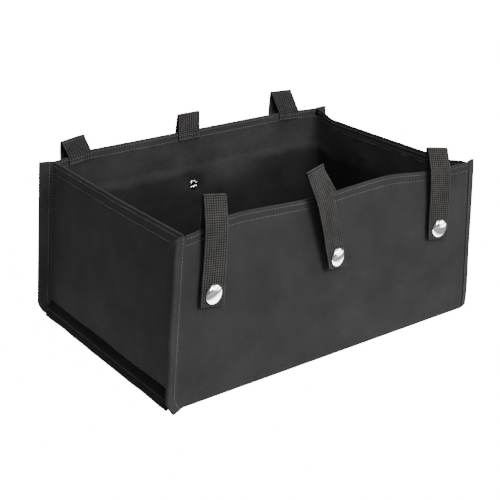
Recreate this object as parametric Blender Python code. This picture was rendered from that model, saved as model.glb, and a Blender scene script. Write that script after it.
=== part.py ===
"""Garden tool bag: an open cloth box, stiffened with boards, that hangs from six snap straps.

Frame: metres, +Z up, origin under the middle of the base. The front wall faces -Y, and the
long side lies along X. Each wall is outer cloth, a stiffening board and a lining. The front
and back cloths meet the end cloths in corner fins that stand outside the box, each bound with
folded tape, and the seam under each end hangs to the ground as a bound fin too. Each strap is
sewn inside the rim, loops over it, and its tail hangs outside, closed on the wall by a
four-piece snap. The tail hinges on the outer edge of its loop.
"""

import math

import bmesh
import bpy
from mathutils import Matrix, Vector

MM = 0.001
GAP = 0.3 * MM

# Box, outside the cloth
HEIGHT = 150 * MM
HALF_DEPTH = 109 * MM
# Half the box's length at each height, left and right of the middle: widest just above the
# foot, where the left end tucks under, and drawn in at the rim
BEND = 14 * MM
HALF_LENGTHS = {
    -1: ((0.0, 159 * MM), (BEND, 165 * MM), (HEIGHT, 154.5 * MM)),
    1: ((0.0, 164.5 * MM), (BEND, 165 * MM), (HEIGHT, 156.5 * MM)),
}

# How the soft walls settle, as (place along the wall, amount) in millimetres: how far the rim
# leans out from the box, and how far it rises. Both fade to nothing at the bend over the foot.
RIM_OUT = {
    -1: ((-156, 0), (-95, -8), (-22, -5), (60, -7), (112, -1.5), (156, 0)),
    1: ((-156, 0), (-110, 4), (110, 4), (156, 1)),
}
RIM_UP = {
    -1: ((-156, 0), (-105, 4.5), (-22, 2.5), (60, 4.5), (112, 1.5), (156, 1)),
    1: ((-156, 0), (-110, 3), (110, 3), (156, 1.5)),
}
END_RIM_UP = {
    -1: ((-105, 0), (0, -1), (105, 0)),
    1: ((-105, 1), (-80, -3), (80, -4.5), (105, 1.5)),
}
# Where every layer of a wall has points, so that the settled layers stay parallel
LONG_STATIONS = [x * MM for x in range(-144, 145, 12)]
END_STATIONS = [y * MM for y in (-95, -85, -75, -50, -25, 0, 25, 50, 75, 85, 95)]

# Layers of a wall, from the outside in
CLOTH = 0.6 * MM
BOARD = 1.5 * MM
LINING = 0.5 * MM
BOARD_AT = CLOTH + GAP
LINING_AT = BOARD_AT + BOARD + GAP
WALL = LINING_AT + LINING
WALL_ZONE = WALL + 5 * MM
BOARD_TOP = 112 * MM
HEM_DEPTH = 9 * MM
LEVELS = (BEND, (BEND + BOARD_TOP) / 2, BOARD_TOP)
HEM_THICKNESS = 1.8 * MM

# Base layers, from the ground up
BASE_BOARD = 2 * MM
BASE_BOARD_AT = CLOTH + GAP
BASE_LINING_AT = BASE_BOARD_AT + BASE_BOARD + GAP
WALL_BOARD_FOOT = BASE_LINING_AT
WALL_LINING_FOOT = BASE_LINING_AT + LINING + GAP

# Corner fins: how far each is turned out of the front or back wall's plane, away from the box
FIN = 11.2 * MM
FIN_TURNS = {(-1, -1): 25, (1, -1): -20, (-1, 1): 20, (1, 1): 0}
TAPE = 0.5 * MM
TAPE_START = 1.5 * MM

# The bound seam along each end's foot: how far it hangs out at the ground, left and right
FOOT_OUT = {-1: 5.5 * MM, 1: 2.5 * MM}
FOOT_FIN = 2.2 * MM
FOOT_INSET = 2.9 * MM

# Webbing straps
WEBBING_WIDTH = 25 * MM
WEBBING = 1.2 * MM
ROOT_FOOT = HEIGHT - HEM_DEPTH + 0.5 * MM
INNER_LEG = -(WALL + GAP + WEBBING / 2)
OUTER_LEG = 4 * MM + WEBBING / 2
LOOP_CORNER = 2.4 * MM
SNAP_HEIGHT = 95 * MM
TAIL_END = 82 * MM
TWIST_STEPS = 5
HINGE_OUTSIDE = WEBBING / 2 + GAP

# Name, wall (-1 front, 1 back), where it is sewn, where its loop's top is and where its snap is
# along X, the loop's height over the rim, the snap's turn about the vertical in degrees, and
# whether the snap is set through the lining too
STRAPS = (
    ("front_left", -1, -127 * MM, -125 * MM, -130 * MM, 24 * MM, 0, False),
    ("front_middle", -1, -8 * MM, -23 * MM, -2 * MM, 26 * MM, 12, True),
    ("front_right", -1, 118 * MM, 115.5 * MM, 120 * MM, 21 * MM, 0, False),
    ("back_left", 1, -126 * MM, -132 * MM, -128 * MM, 16 * MM, 0, False),
    ("back_middle", 1, -5 * MM, -4 * MM, -2 * MM, 18 * MM, 0, True),
    ("back_right", 1, 120 * MM, 110.5 * MM, 116 * MM, 23 * MM, 0, False),
)

# Snap fastener, heights measured out from the wall's outer face
SEGMENTS = 16
STUD_FLANGE_RADIUS = 5 * MM
EYELET_RADIUS = 4.5 * MM
BARREL_RADIUS = 1.2 * MM
SOCKET_RADIUS = 5.5 * MM
CAP_RADIUS = 8.5 * MM
CAP_UNDERSIDE = OUTER_LEG + WEBBING / 2 + GAP
POST_RADIUS = 1.1 * MM
HOLE_RADIUS = 1.6 * MM
TURNED_HOLE_RADIUS = 2.2 * MM
BOARD_HOLE_RADIUS = EYELET_RADIUS + 0.8 * MM


def clear_scene():
    for obj in list(bpy.data.objects):
        bpy.data.objects.remove(obj)


def new_material(name, colour, roughness, metallic=0.0):
    material = bpy.data.materials.new(name)
    material.use_nodes = True
    shader = material.node_tree.nodes["Principled BSDF"]
    shader.inputs["Base Color"].default_value = (*colour, 1.0)
    shader.inputs["Roughness"].default_value = roughness
    shader.inputs["Metallic"].default_value = metallic
    return material


def add_solid(name, bm, material, strap_x=None, hinge=None):
    """The mesh, settled as the walls are, as an object. A hinge's empty is its origin."""
    bmesh.ops.remove_doubles(bm, verts=bm.verts, dist=1e-7)
    for vertex in bm.verts:
        vertex.co = settled(vertex.co, strap_x)
    bmesh.ops.recalc_face_normals(bm, faces=bm.faces)
    if hinge:
        bmesh.ops.translate(bm, verts=bm.verts, vec=-hinge.location)
    mesh = bpy.data.meshes.new(name)
    bm.to_mesh(mesh)
    bm.free()
    mesh.materials.append(material)
    obj = bpy.data.objects.new(name, mesh)
    obj.parent = hinge
    bpy.context.scene.collection.objects.link(obj)
    return obj


def loft(rings):
    """A closed solid through rings that all have the same number of points.

    Its quads are split along the same diagonal on both faces of a wall, because a settled
    wall is twisted, and layers that were split in different ways would meet.
    """
    bm = bmesh.new()
    rows = [[bm.verts.new(point) for point in ring] for ring in rings]
    count = len(rows[0])
    for low, high in zip(rows, rows[1:]):
        for i in range(count):
            j = (i + 1) % count
            a, b, c, d = low[i], low[j], high[j], high[i]
            rising = b.co.x + b.co.y >= a.co.x + a.co.y
            halves = ((a, b, c), (a, c, d)) if rising else ((a, b, d), (b, c, d))
            for corners in halves:
                bm.faces.new(corners)
    bm.faces.new(rows[0][::-1])
    bm.faces.new(rows[-1])
    return bm


# --- How soft walls settle -------------------------------------------------------------


def smooth(table, place):
    """Reads a smooth curve through (place, amount) pairs in millimetres, flat at each pair."""
    place = min(max(place / MM, table[0][0]), table[-1][0])
    for (start, low), (stop, high) in zip(table, table[1:]):
        if place <= stop:
            share = (place - start) / (stop - start)
            return (low + (high - low) * share * share * (3 - 2 * share)) * MM
    return table[-1][1] * MM


def beside(table, place, middle):
    """As smooth, but read straight across a strap that lies on the wall at middle."""
    reach = WEBBING_WIDTH / 2
    low, high = smooth(table, middle - reach), smooth(table, middle + reach)
    return smooth(table, middle) + (high - low) * (place - middle) / (2 * reach)


def settled(point, strap_x=None):
    """Where a point of the straight box comes to lie. What a strap carries stays flat."""
    share = min(max((point.z - BEND) / (HEIGHT - BEND), 0), 1)
    side_x, side_y = math.copysign(1, point.x), math.copysign(1, point.y)
    if abs(point.y) > HALF_DEPTH - WALL_ZONE:
        read = smooth if strap_x is None else beside
        at = (point.x,) if strap_x is None else (point.x, strap_x)
        out, up = read(RIM_OUT[side_y], *at), read(RIM_UP[side_y], *at)
        return point + share * Vector((0, side_y * out, up))
    if abs(point.x) > HALF_LENGTHS[side_x][-1][1] - WALL_ZONE:
        return point + share * Vector((0, 0, smooth(END_RIM_UP[side_x], point.y)))
    return point.copy()


# --- The box ---------------------------------------------------------------------------


def half_length(side_x, z):
    (_, foot), (bend, widest), (rim, top) = HALF_LENGTHS[side_x]
    if z <= bend:
        return foot + (widest - foot) * z / bend
    return widest + (top - widest) * (z - bend) / (rim - bend)


def levels(low, high):
    """The heights where a piece from low to high has a ring."""
    return [low, *(z for z in LEVELS if low < z < high), high]


def stations(start, stop, places):
    """The places between start and stop where a wall has points, in that direction."""
    inside = [p for p in places if min(start, stop) < p < max(start, stop)]
    return [start, *sorted(inside, reverse=stop < start), stop]


def fin_point(side_x, side_y, z, along, depth):
    """A point of a corner fin: so far out along it, and so deep from its outer face."""
    turn = math.radians(FIN_TURNS[side_x, side_y])
    out = Vector((side_x * math.cos(turn), side_y * math.sin(turn), 0))
    into = Vector((side_x * math.sin(turn), -side_y * math.cos(turn), 0))
    corner = Vector((side_x * half_length(side_x, z), side_y * HALF_DEPTH, z))
    return corner + along * out + depth * into


def bend_on_wall(side_x, side_y, z, depth):
    """Where the face at this depth turns from the front or back wall into the fin."""
    turn = math.radians(FIN_TURNS[side_x, side_y])
    return fin_point(side_x, side_y, z, -depth * math.tan(turn / 2), depth)


def bend_on_end(side_x, side_y, z, fin_depth, end_depth):
    """Where the end wall's face at end_depth turns into the fin's face at fin_depth."""
    turn = math.radians(FIN_TURNS[side_x, side_y])
    along = -(end_depth + fin_depth * math.sin(turn)) / math.cos(turn)
    return fin_point(side_x, side_y, z, along, fin_depth)


def with_hem(low, high, ring_at):
    """The rings of a cloth wall: thin up to the hem, then thick."""
    hem_foot = high - HEM_DEPTH
    thin = [ring_at(z, CLOTH) for z in levels(low, hem_foot)]
    thick = [ring_at(z, HEM_THICKNESS) for z in (hem_foot, high)]
    return thin + thick


def long_row(start, stop, y, z):
    return [Vector((x, y, z)) for x in stations(start, stop, LONG_STATIONS)]


def end_row(start, stop, x, z):
    return [Vector((x, y, z)) for y in stations(start, stop, END_STATIONS)]


def long_wall_ring(side_y, z, hem):
    """Outline of the front or back cloth at height z, with its fins."""
    left, right = -half_length(-1, z), half_length(1, z)
    inset = WALL + GAP
    return [
        fin_point(-1, side_y, z, FIN, 0),
        *long_row(left, right, side_y * HALF_DEPTH, z),
        fin_point(1, side_y, z, FIN, 0),
        fin_point(1, side_y, z, FIN, CLOTH),
        bend_on_wall(1, side_y, z, CLOTH),
        Vector((right - inset, side_y * (HALF_DEPTH - CLOTH), z)),
        *long_row(right - inset, left + inset, side_y * (HALF_DEPTH - hem), z),
        Vector((left + inset, side_y * (HALF_DEPTH - CLOTH), z)),
        bend_on_wall(-1, side_y, z, CLOTH),
        fin_point(-1, side_y, z, FIN, CLOTH),
    ]


def end_wall_ring(side_x, z, hem):
    """Outline of an end cloth at height z. Its edges lie inside the long walls' fins."""
    near, far = CLOTH + GAP, 2 * CLOTH + GAP
    front, back = (bend_on_end(side_x, side_y, z, far, 0) for side_y in (-1, 1))
    end = HALF_DEPTH - WALL - GAP
    inner_x = side_x * (half_length(side_x, z) - CLOTH)
    hem_x = side_x * (half_length(side_x, z) - hem)
    return [
        fin_point(side_x, -1, z, FIN, far),
        *end_row(front.y, back.y, front.x, z),
        fin_point(side_x, 1, z, FIN, far),
        fin_point(side_x, 1, z, FIN, near),
        bend_on_end(side_x, 1, z, near, CLOTH),
        Vector((inner_x, end, z)),
        *end_row(end, -end, hem_x, z),
        Vector((inner_x, -end, z)),
        bend_on_end(side_x, -1, z, near, CLOTH),
        fin_point(side_x, -1, z, FIN, near),
    ]


def binding_ring(side_x, side_y, z):
    """Outline of the tape folded round a corner fin's edge."""
    face, back = -GAP, 2 * CLOTH + 2 * GAP
    outline = (
        (TAPE_START, face - TAPE),
        (FIN + GAP + TAPE, face - TAPE),
        (FIN + GAP + TAPE, back + TAPE),
        (TAPE_START, back + TAPE),
        (TAPE_START, back),
        (FIN + GAP, back),
        (FIN + GAP, face),
        (TAPE_START, face),
    )
    return [fin_point(side_x, side_y, z, along, depth) for along, depth in outline]


def foot_binding(side_x):
    """The bound seam that hangs from the end wall's bend to the ground, as one folded strip."""
    # A corner fin that leans over the end wall takes some of the strip's length
    lean = {y: max(0, -math.tan(math.radians(FIN_TURNS[side_x, y]))) for y in (-1, 1)}
    front, back = (y * (HALF_DEPTH - FOOT_INSET - lean[y] * 3 * FOOT_INSET) for y in (-1, 1))
    rings = []
    for z, out in ((0.0, FOOT_OUT[side_x]), (BEND, 0.0)):
        face = side_x * (half_length(side_x, BEND) + GAP + out)
        edge = face + side_x * FOOT_FIN
        corners = ((face, front), (face, back), (edge, back), (edge, front))
        rings.append([Vector((*corner, z)) for corner in corners])
    return loft(rings)


def long_layer(side_y, depth, thickness, foot, top):
    """A board or lining inside the front or back cloth."""
    outer, inner = side_y * (HALF_DEPTH - depth), side_y * (HALF_DEPTH - depth - thickness)
    rings = []
    for z in levels(foot, top):
        left, right = BOARD_AT - half_length(-1, z), half_length(1, z) - BOARD_AT
        rings.append(long_row(left, right, outer, z) + long_row(right, left, inner, z))
    return loft(rings)


def end_layer(side_x, depth, thickness, foot, top):
    """A board or lining inside an end cloth, between the long walls' layers."""
    end = HALF_DEPTH - WALL - GAP
    rings = []
    for z in levels(foot, top):
        outer = side_x * (half_length(side_x, z) - depth)
        inner = outer - side_x * thickness
        rings.append(end_row(-end, end, outer, z) + end_row(end, -end, inner, z))
    return loft(rings)


def base_layer(foot, thickness, inset):
    """A layer of the base, as wide as the foot of the box leaves room for."""
    left, right = inset - half_length(-1, foot), half_length(1, foot) - inset
    y = HALF_DEPTH - inset
    corners = ((left, -y), (right, -y), (right, y), (left, y))
    return loft([[Vector((*c, z)) for c in corners] for z in (foot, foot + thickness)])


def make_box(cloth, board, lining, tape):
    """The five walls' layers and the four corner bindings. Returns the pieces a snap pierces."""
    walls = {}
    lining_top = HEIGHT - HEM_DEPTH - GAP
    for name, side in (("front", -1), ("back", 1)):
        rings = with_hem(0.0, HEIGHT, lambda z, hem: long_wall_ring(side, z, hem))
        outside = add_solid(f"{name}_panel", loft(rings), cloth)
        stiff = long_layer(side, BOARD_AT, BOARD, WALL_BOARD_FOOT, BOARD_TOP)
        stiff = add_solid(f"{name}_board", stiff, board)
        inside = long_layer(side, LINING_AT, LINING, WALL_LINING_FOOT, lining_top)
        walls[side] = (outside, stiff, add_solid(f"{name}_lining", inside, lining))
    for name, side in (("left", -1), ("right", 1)):
        rings = with_hem(0.0, HEIGHT, lambda z, hem: end_wall_ring(side, z, hem))
        add_solid(f"{name}_end_panel", loft(rings), cloth)
        stiff = end_layer(side, BOARD_AT, BOARD, WALL_BOARD_FOOT, BOARD_TOP)
        add_solid(f"{name}_end_board", stiff, board)
        inside = end_layer(side, LINING_AT, LINING, WALL_LINING_FOOT, lining_top)
        add_solid(f"{name}_end_lining", inside, lining)
        add_solid(f"{name}_foot_binding", foot_binding(side), tape)
        for depth_name, depth_side in (("front", -1), ("back", 1)):
            rings = [binding_ring(side, depth_side, z) for z in levels(0.0, HEIGHT)]
            add_solid(f"{depth_name}_{name}_binding", loft(rings), tape)
    add_solid("base_panel", base_layer(0.0, CLOTH, BOARD_AT), cloth)
    add_solid("base_board", base_layer(BASE_BOARD_AT, BASE_BOARD, BOARD_AT), board)
    add_solid("base_lining", base_layer(BASE_LINING_AT, LINING, LINING_AT), lining)
    return walls


# --- Straps ----------------------------------------------------------------------------


def ribbon(side, route):
    """Webbing along a route of (x, distance out from the wall, z, turn about the vertical)."""
    rings = []
    for i, (x, out, z, turn) in enumerate(route):
        before, after = route[max(i - 1, 0)], route[min(i + 1, len(route) - 1)]
        run = Vector((after[1] - before[1], after[2] - before[2])).normalized()
        cos, sin = math.cos(math.radians(turn)), math.sin(math.radians(turn))
        across = Vector((cos, -sin, 0)) * (WEBBING_WIDTH / 2)
        thick = Vector((-run.y * sin, -run.y * cos, run.x)) * (WEBBING / 2)
        corners = (across + thick, across - thick, -across - thick, -across + thick)
        ring = [Vector((x, out, z)) + c for c in corners]
        rings.append([Vector((p.x, side * (HALF_DEPTH + p.y), p.z)) for p in ring])
    return loft(rings)


def corner_arc(x, out, z, start, steps=4):
    """Part of the route, round a quarter turn of the loop from the angle start."""
    for i in range(steps + 1):
        angle = math.radians(start - 90 * i / steps)
        across, up = LOOP_CORNER * math.cos(angle), LOOP_CORNER * math.sin(angle)
        yield (x, out + across, z + up, 0)


def loop_route(root_x, top_x, outer_leg, top):
    """Up the inside of the wall, over the top and down to the hinge."""
    shoulder = top - LOOP_CORNER
    return [
        (root_x, INNER_LEG, ROOT_FOOT, 0),
        (root_x, INNER_LEG, HEIGHT, 0),
        *corner_arc(top_x, INNER_LEG + LOOP_CORNER, shoulder, 180),
        *corner_arc(top_x, outer_leg - LOOP_CORNER, shoulder, 90),
    ]


def tail_route(top_x, snap_x, outer_leg, head, turn):
    """Down the outside, leaning and turning until it lies flat under the snap's cap."""
    flat = SNAP_HEIGHT + CAP_RADIUS + GAP
    places = [(head + (flat - head) * i / TWIST_STEPS, i / TWIST_STEPS) for i in range(TWIST_STEPS + 1)]
    for z, share in (*places, (TAIL_END, 1.0)):
        from_snap = (top_x - snap_x) * (z - SNAP_HEIGHT) / (head - SNAP_HEIGHT)
        # Turned webbing that leans has to stand off by this much to stay upright under the cap
        upright = -from_snap * math.tan(math.radians(turn * share))
        yield (snap_x + from_snap, outer_leg + upright, z, turn * share)


# --- Snaps -----------------------------------------------------------------------------


def snap_matrix(side, x, stand_off, turn):
    """Carries a snap's own axis, +Z, onto the line out of the wall through the snap."""
    angle = math.radians(turn)
    axis = Vector((math.sin(angle), side * math.cos(angle), 0))
    place = Vector((x, side * (HALF_DEPTH + stand_off), SNAP_HEIGHT))
    turned = axis.to_track_quat("Z", "Y").to_matrix().to_4x4()
    return Matrix.Translation(place) @ turned


def turned_solid(outline, matrix):
    """A lathe-turned solid from points (radius, height), closed on the axis or as a ring."""
    bm = bmesh.new()
    rows = []
    for i in range(SEGMENTS):
        angle = math.tau * i / SEGMENTS
        cos, sin = math.cos(angle), math.sin(angle)
        points = [Vector((r * cos, r * sin, h)) for r, h in outline]
        rows.append([bm.verts.new(matrix @ p) for p in points])
    count = len(outline)
    for i, row in enumerate(rows):
        other = rows[(i + 1) % SEGMENTS]
        for j in range(count):
            k = (j + 1) % count
            if outline[j][0] or outline[k][0]:
                bm.faces.new((row[j], row[k], other[k], other[j]))
    for face in bm.faces:
        face.smooth = True
    return bm


def drill(objects, matrix, radius, strap_x):
    """Cuts a snap's hole through these layers with one hidden cylinder."""
    inside, outside = -(WALL + 4 * MM), 12 * MM
    outline = ((0, inside), (radius, inside), (radius, outside), (0, outside))
    material = objects[0].data.materials[0]
    cutter = add_solid("hole_cutter", turned_solid(outline, matrix), material, strap_x)
    cutter.hide_render = True
    cutter.display_type = "WIRE"
    for obj in objects:
        modifier = obj.modifiers.new("snap_hole", "BOOLEAN")
        modifier.operation = "DIFFERENCE"
        modifier.solver = "EXACT"
        modifier.object = cutter
    return cutter


def stud_outline():
    """The male half: a flange on the wall and a hollow ball."""
    flange, ball = 0.3 * MM, 2.1 * MM
    bore = BARREL_RADIUS + GAP
    return (
        (bore, flange),
        (STUD_FLANGE_RADIUS, flange),
        (STUD_FLANGE_RADIUS, flange + 0.5 * MM),
        (2.2 * MM, flange + 0.8 * MM),
        (2.0 * MM, ball - 0.6 * MM),
        (2.5 * MM, ball),
        (2.2 * MM, ball + 0.5 * MM),
        (bore, ball + 0.5 * MM),
    )


def eyelet_outline(depth):
    """The rivet from inside: a rolled flange at this depth and a barrel into the stud."""
    inner, tip = BARREL_RADIUS - 0.5 * MM, 2.3 * MM
    return (
        (inner, -depth - 0.6 * MM),
        (EYELET_RADIUS - 0.4 * MM, -depth - 0.6 * MM),
        (EYELET_RADIUS, -depth - 0.3 * MM),
        (EYELET_RADIUS - 0.2 * MM, -depth),
        (BARREL_RADIUS, -depth),
        (BARREL_RADIUS, tip),
        (inner, tip),
    )


def socket_outline():
    """The female half: a cup that takes the ball, with a hole for the cap's post."""
    mouth, back = 1.5 * MM, OUTER_LEG - WEBBING / 2 - GAP
    floor = back - 0.6 * MM
    return (
        (2.8 * MM, mouth),
        (SOCKET_RADIUS - 0.3 * MM, mouth),
        (SOCKET_RADIUS, mouth + 0.3 * MM),
        (SOCKET_RADIUS, back),
        (POST_RADIUS + GAP, back),
        (POST_RADIUS + GAP, floor),
        (2.8 * MM, floor),
    )


def cap_outline(steps=5):
    """The domed cap, with the post that holds the socket."""
    edge, dome = 0.7 * MM, 1.6 * MM
    tip = OUTER_LEG - WEBBING / 2 - GAP - 0.4 * MM
    outline = [
        (0, tip),
        (POST_RADIUS, tip),
        (POST_RADIUS, CAP_UNDERSIDE),
        (CAP_RADIUS - 0.5 * MM, CAP_UNDERSIDE),
    ]
    for i in range(steps + 1):
        angle = math.pi / 2 * i / steps
        radius = CAP_RADIUS * math.cos(angle) if i < steps else 0
        outline.append((radius, CAP_UNDERSIDE + edge + dome * math.sin(angle)))
    return outline


def make_snap(name, layers, matrices, through_lining, turned, strap_x, hinge, metal):
    """The four pieces of a snap, and their holes in the wall."""
    outer, inner = matrices
    eyelet = eyelet_outline(WALL + GAP if through_lining else CLOTH + GAP)
    add_solid(f"snap_{name}_stud", turned_solid(stud_outline(), outer), metal, strap_x)
    add_solid(f"snap_{name}_eyelet", turned_solid(eyelet, inner), metal, strap_x)
    for piece, outline in (("socket", socket_outline()), ("cap", cap_outline())):
        solid = turned_solid(outline, outer)
        add_solid(f"snap_{name}_{piece}", solid, metal, strap_x, hinge)
    panel, stiff, inside = layers
    hole = TURNED_HOLE_RADIUS if turned else HOLE_RADIUS
    if through_lining:
        drill([panel, stiff, inside], outer, hole, strap_x)
    else:
        drill([panel], outer, hole, strap_x)
        drill([stiff], outer, BOARD_HOLE_RADIUS, strap_x)


def make_strap(strap, walls, webbing, metal):
    name, side, root_x, top_x, snap_x, rise, turn, through_lining = strap
    # A turned snap stands further off, so that its flange and its webbing's edge clear the wall
    stand_off = STUD_FLANGE_RADIUS * math.sin(math.radians(turn))
    outer_leg = OUTER_LEG + stand_off
    top = HEIGHT + rise - WEBBING / 2
    head = top - LOOP_CORNER
    hinge = bpy.data.objects.new(f"hinge_{name}", None)
    straight = Vector((top_x, side * (HALF_DEPTH + outer_leg + HINGE_OUTSIDE), head))
    hinge.location = settled(straight, root_x)
    bpy.context.scene.collection.objects.link(hinge)

    loop = ribbon(side, loop_route(root_x, top_x, outer_leg, top))
    add_solid(f"strap_{name}_loop", loop, webbing, root_x)
    route = list(tail_route(top_x, snap_x, outer_leg, head - GAP, turn))
    tail = add_solid(f"strap_{name}_tail", ribbon(side, route), webbing, root_x, hinge)

    outer = snap_matrix(side, snap_x, stand_off, turn)
    inner = snap_matrix(side, snap_x, -stand_off, turn)
    make_snap(name, walls[side], (outer, inner), through_lining, turn, root_x, hinge, metal)
    drill([tail], outer, POST_RADIUS + GAP, root_x)


def main():
    clear_scene()
    cloth = new_material("black_oxford_cloth", (0.028, 0.028, 0.028), 0.8)
    board = new_material("stiffening_board", (0.10, 0.10, 0.10), 0.6)
    lining = new_material("black_lining", (0.020, 0.020, 0.021), 0.7)
    tape = new_material("binding_tape", (0.024, 0.024, 0.024), 0.85)
    webbing = new_material("black_webbing", (0.034, 0.034, 0.032), 0.75)
    metal = new_material("nickel_plate", (0.72, 0.71, 0.69), 0.15, 1.0)
    walls = make_box(cloth, board, lining, tape)
    for strap in STRAPS:
        make_strap(strap, walls, webbing, metal)


main()
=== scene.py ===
# %% [markdown]
# # A garden tool bag
# An open box of black Oxford cloth, kept upright by thin boards inside its walls, hangs from six
# webbing straps that close with snaps. This lesson dresses the measured frame of that bag: real
# cloth that sags and puckers, woven webbing, rows of stitches and plated snaps.

# %% Load the frame
import math

import bmesh
import bpy
import numpy as np
from mathutils import Matrix, Vector, noise


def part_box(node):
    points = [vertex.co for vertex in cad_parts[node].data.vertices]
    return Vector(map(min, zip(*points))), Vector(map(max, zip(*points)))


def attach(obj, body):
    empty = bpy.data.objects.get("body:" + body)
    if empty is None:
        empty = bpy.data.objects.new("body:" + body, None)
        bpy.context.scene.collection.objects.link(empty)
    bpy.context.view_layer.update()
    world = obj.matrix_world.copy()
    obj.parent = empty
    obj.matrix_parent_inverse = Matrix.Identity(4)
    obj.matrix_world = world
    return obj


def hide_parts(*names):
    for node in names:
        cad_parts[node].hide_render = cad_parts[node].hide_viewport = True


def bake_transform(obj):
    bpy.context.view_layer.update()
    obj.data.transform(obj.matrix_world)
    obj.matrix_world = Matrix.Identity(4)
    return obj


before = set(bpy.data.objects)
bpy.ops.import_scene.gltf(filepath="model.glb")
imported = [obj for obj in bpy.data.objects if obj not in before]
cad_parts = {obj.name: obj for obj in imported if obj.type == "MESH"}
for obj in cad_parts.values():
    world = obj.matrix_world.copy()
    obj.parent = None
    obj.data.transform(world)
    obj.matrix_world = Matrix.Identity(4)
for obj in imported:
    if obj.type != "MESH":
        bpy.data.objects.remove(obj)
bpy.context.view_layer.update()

MM = 0.001

# %% [markdown]
# ## Camera, floor and light
# A long lens from a little above shows the front wall, the left end and the inside of the back.
# Floor and sky are a sweep of overlit paper. They glow with three strengths: a strong one that
# the viewer sees as white, a patchy one that shows only in mirrors such as the snaps, and what
# falls on the cloth, which is nothing from the floor and a little from the sky.

# %% Camera
AZIMUTH, ELEVATION, ROLL = (math.radians(a) for a in (-36.8, 23.1, 0.88))
CAMERA_RIGHT, CAMERA_UP, CAMERA_BACK = -7.59 * MM, 58.08 * MM, 1062.6 * MM
LENS, SENSOR = 79.2, 36.0


def make_camera():
    flat = math.cos(ELEVATION)
    back = Vector((math.sin(AZIMUTH) * flat, -math.cos(AZIMUTH) * flat, math.sin(ELEVATION)))
    level = (-back).cross(Vector((0, 0, 1))).normalized()
    upright = level.cross(-back)
    right = level * math.cos(ROLL) + upright * math.sin(ROLL)
    up = upright * math.cos(ROLL) - level * math.sin(ROLL)
    camera = bpy.data.objects.new("camera", bpy.data.cameras.new("camera"))
    place = right * CAMERA_RIGHT + up * CAMERA_UP + back * CAMERA_BACK
    turned = Matrix((right, up, back)).transposed().to_4x4()
    camera.matrix_world = Matrix.Translation(place) @ turned
    camera.data.lens, camera.data.sensor_width = LENS, SENSOR
    bpy.context.scene.collection.objects.link(camera)
    bpy.context.scene.camera = camera
    return camera


print("camera at", [round(c, 3) for c in make_camera().matrix_world.translation])

# %% Helpers for node trees
def node(tree, kind, inputs=(), **settings):
    """Adds a node, sets it up, and links or fills its inputs."""
    made = tree.nodes.new(kind)
    for key, value in settings.items():
        setattr(made, key, value)
    for key, value in dict(inputs).items():
        if isinstance(value, bpy.types.NodeSocket):
            tree.links.new(value, made.inputs[key])
        else:
            made.inputs[key].default_value = value
    return made


def maths(tree, operation, *values):
    """A Math node on one to three values, each a number or a socket."""
    made = node(tree, "ShaderNodeMath", dict(enumerate(values)), operation=operation)
    return made.outputs[0]


def new_material(name):
    """A material with its tree and its shader."""
    material = bpy.data.materials.new(name)
    material.use_nodes = True
    return material, material.node_tree, material.node_tree.nodes["Principled BSDF"]


print("node helpers:", [helper.__name__ for helper in (node, maths, new_material)])

# %% Floor and sky
FLOOR_SIZE, FLOOR_TONE, FLOOR_ROUGH = 40, 0.2, 0.9
FLOOR_SEEN, SKY_SEEN = 16.0, 16.0
FLOOR_LIGHT, SKY_LIGHT = 0.0, 0.85
FLOOR_MIRRORED, SKY_MIRRORED = 0.03, 0.28
# A patch that mirrors see: (centre, whole up to, gone from, strength), in metres.
FLOOR_PATCHES = ((0, 0, 0), 0.20, 0.30, 7.0), ((0.75, -0.5, 0), 0.28, 0.42, 9.0)
SKY_WINDOW = (0.72, -0.62, 0.2), 0.3, 0.45, 9.0


def strength_for(tree, plain, mirrored, seen):
    """One strength for what a surface lights, one for mirrors and one for the viewer."""
    path = node(tree, "ShaderNodeLightPath")
    value = plain
    for ray, amount in (("Is Glossy Ray", mirrored), ("Is Camera Ray", seen)):
        value = node(tree, "ShaderNodeMix", {0: path.outputs[ray], 2: value, 3: amount}).outputs[0]
    return value


def glow_patch(tree, where, patch, base):
    """A strength that falls to a base value away from a patch's centre."""
    centre, whole, gone, strength = patch
    distance = node(tree, "ShaderNodeVectorMath", {0: where, 1: centre}, operation="DISTANCE")
    limits = {"From Min": whole, "From Max": gone, "To Min": strength, "To Max": base}
    ramp = node(tree, "ShaderNodeMapRange", {"Value": distance.outputs["Value"], **limits},
                interpolation_type="SMOOTHSTEP")
    return ramp.outputs["Result"]


def make_floor():
    bpy.ops.mesh.primitive_grid_add(x_subdivisions=2, y_subdivisions=2, size=FLOOR_SIZE)
    floor = bpy.context.object
    floor.name = "paper_floor"
    paper, tree, shader = new_material("pale_paper")
    shader.inputs["Base Color"].default_value = (FLOOR_TONE, FLOOR_TONE, FLOOR_TONE, 1)
    shader.inputs["Roughness"].default_value = FLOOR_ROUGH
    shader.inputs["Emission Color"].default_value = (1, 1, 1, 1)
    where = node(tree, "ShaderNodeTexCoord").outputs["Object"]
    patches = [glow_patch(tree, where, patch, FLOOR_MIRRORED) for patch in FLOOR_PATCHES]
    strength = strength_for(tree, FLOOR_LIGHT, maths(tree, "MAXIMUM", *patches), FLOOR_SEEN)
    tree.links.new(strength, shader.inputs["Emission Strength"])
    floor.data.materials.append(paper)


def make_sky():
    world = bpy.data.worlds.new("white_room")
    world.use_nodes = True
    bpy.context.scene.world = world
    tree = world.node_tree
    sky = tree.nodes["Background"]
    sky.inputs["Color"].default_value = (1, 1, 1, 1)
    where = node(tree, "ShaderNodeTexCoord").outputs["Generated"]
    mirrored = glow_patch(tree, where, SKY_WINDOW, SKY_MIRRORED)
    tree.links.new(strength_for(tree, SKY_LIGHT, mirrored, SKY_SEEN), sky.inputs["Strength"])


make_floor()
make_sky()
print("glow that the viewer sees, floor and sky:", FLOOR_SEEN, SKY_SEEN)

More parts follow.
